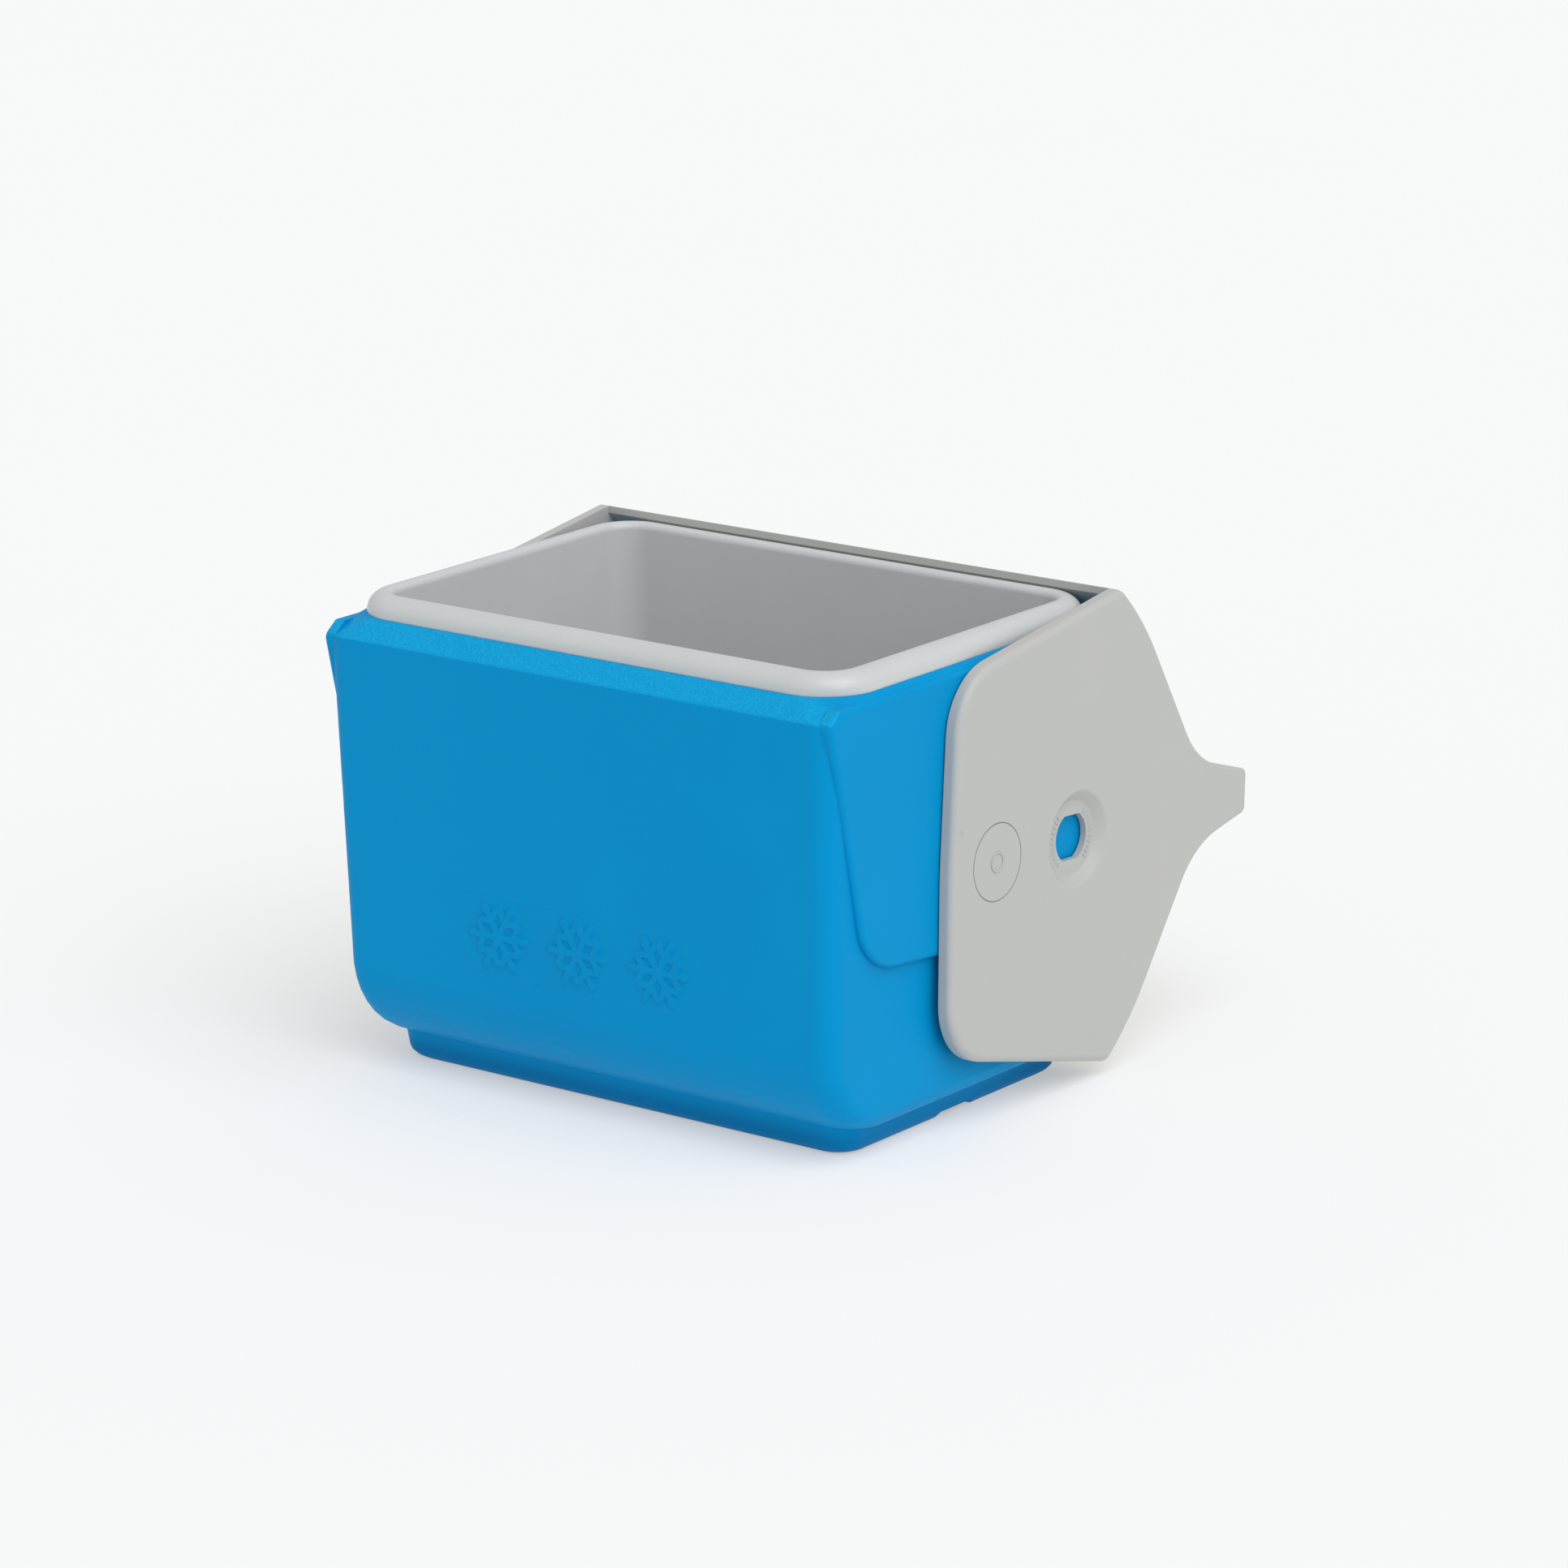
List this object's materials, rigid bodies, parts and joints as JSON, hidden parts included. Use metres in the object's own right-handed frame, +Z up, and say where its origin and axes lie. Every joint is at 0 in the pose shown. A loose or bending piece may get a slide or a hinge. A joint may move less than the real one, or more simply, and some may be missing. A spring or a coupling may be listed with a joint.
{
  "type": "swing-top cooler chest",
  "caption": "Small insulated cooler chest with a tent-shaped lid that swings over to either side on end pivots, and a push-button lid lock.",
  "frame": {"origin": "middle of the plinth's underside, on the surface that the cooler stands on", "axes": "+Z up, X along the long side, -Y the front"},
  "size_m": [0.27, 0.2704, 0.1987],
  "materials": {
    "shell_plastic": "satin moulded polyethylene, fine texture on the shoulder",
    "liner_plastic": "smooth moulded polypropylene",
    "lid_plastic": "smooth satin moulded plastic",
    "socket_plastic": "moulded acetal",
    "foam": "rigid polyurethane foam",
    "spring_steel": "drawn spring wire"
  },
  "bodies": {
    "body": {"outer_shell": "shell_plastic", "foam_core": "foam", "inner_liner": "liner_plastic", "base_fill_plug": "shell_plastic", "pivot_socket_right": "socket_plastic", "pivot_socket_left": "socket_plastic", "button_housing": "socket_plastic", "button_guide": "shell_plastic"},
    "lock_button": {"push_button": "shell_plastic", "button_spring": "spring_steel"},
    "lid": {"lid_shell": "lid_plastic", "lid_liner": "lid_plastic", "lid_foam": "foam", "lid_fill_plug": "lid_plastic", "pivot_cap_right": "lid_plastic", "pivot_cap_left": "lid_plastic", "pivot_ring_right": "spring_steel", "pivot_ring_left": "spring_steel"}
  },
  "joints": [
    {"name": "lid_swing", "type": "hinge", "parent": "body", "child": "lid", "pos_m": [0, 0, 0.1066], "axis": [1, 0, 0], "range_deg": [0, 186.38]},
    {"name": "button_press", "type": "slide", "parent": "body", "child": "lock_button", "axis": [1, 0, 0], "range_m": [-0.0025, 0], "stiffness_N_per_m": 400, "springref_m": 0.0038, "deforming": ["button_spring"]}
  ]
}
